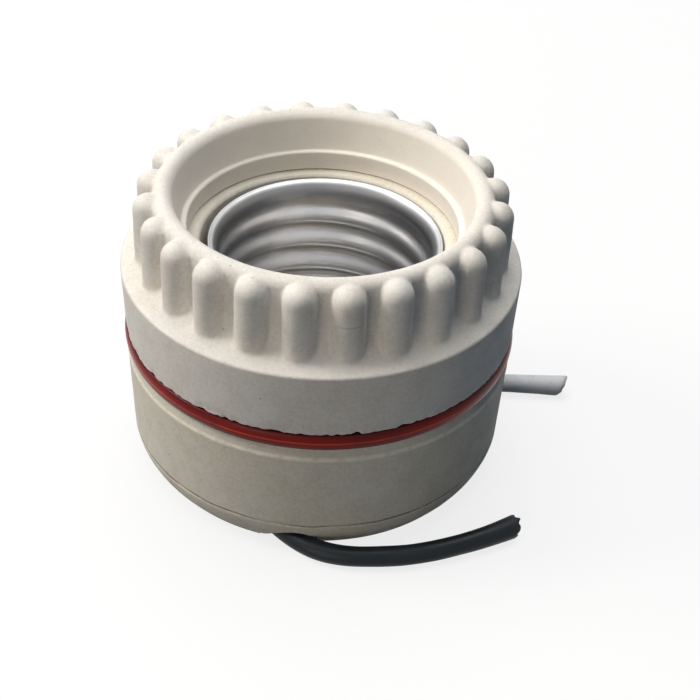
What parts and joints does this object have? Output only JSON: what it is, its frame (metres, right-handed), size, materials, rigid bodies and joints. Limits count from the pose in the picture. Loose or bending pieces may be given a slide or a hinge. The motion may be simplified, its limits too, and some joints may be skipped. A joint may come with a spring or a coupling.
{
  "type": "lamp holder",
  "caption": "Unglazed porcelain lamp holder for signs: a screw shell in a porcelain body, a ribbed screw-on clamp ring, a red gasket and short leads.",
  "frame": {"origin": "on the neck's axis, in the plane of the underside", "axes": "+Z out of the lamp's mouth, along the neck's axis; -Y towards the picture's viewer"},
  "size_m": [0.0582, 0.0504, 0.0368],
  "materials": {
    "porcelain": "unglazed, fine grain",
    "porcelain_ring": "unglazed, fine grain",
    "gasket": "glossy",
    "shell": "rolled, satin",
    "contact": "satin",
    "rivets": "satin",
    "lugs": "tinned",
    "wire": "bare copper",
    "compound": "poured, dull",
    "black_pvc": "semi-gloss",
    "white_pvc": "semi-gloss"
  },
  "bodies": {
    "holder": {"body": "porcelain", "screw_shell": "shell", "centre_contact": "contact", "contact_rivet": "rivets", "shell_rivet_neutral": "rivets", "shell_rivet_plain": "rivets", "rivet_washer": "rivets", "line_lug": "lugs", "neutral_lug": "lugs", "line_wire": "wire", "neutral_wire": "wire", "sealing_compound": "compound", "black_lead": "black_pvc", "white_lead": "white_pvc"},
    "seal": {"gasket": "gasket"},
    "ring": {"clamp_ring": "porcelain_ring"}
  },
  "joints": [
    {"name": "clamp_travel", "type": "slide", "parent": "holder", "child": "seal", "axis": [0, 0, 1], "range_m": [0, 0.008]},
    {"name": "ring_turn", "type": "hinge", "parent": "seal", "child": "ring", "pos_m": [0, 0, 0.0188], "axis": [0, 0, 1], "range_deg": [0, 720]}
  ],
  "couplings": [
    {"joint": "ring_turn", "follows": "clamp_travel", "rad_per_m": 1570.8}
  ]
}
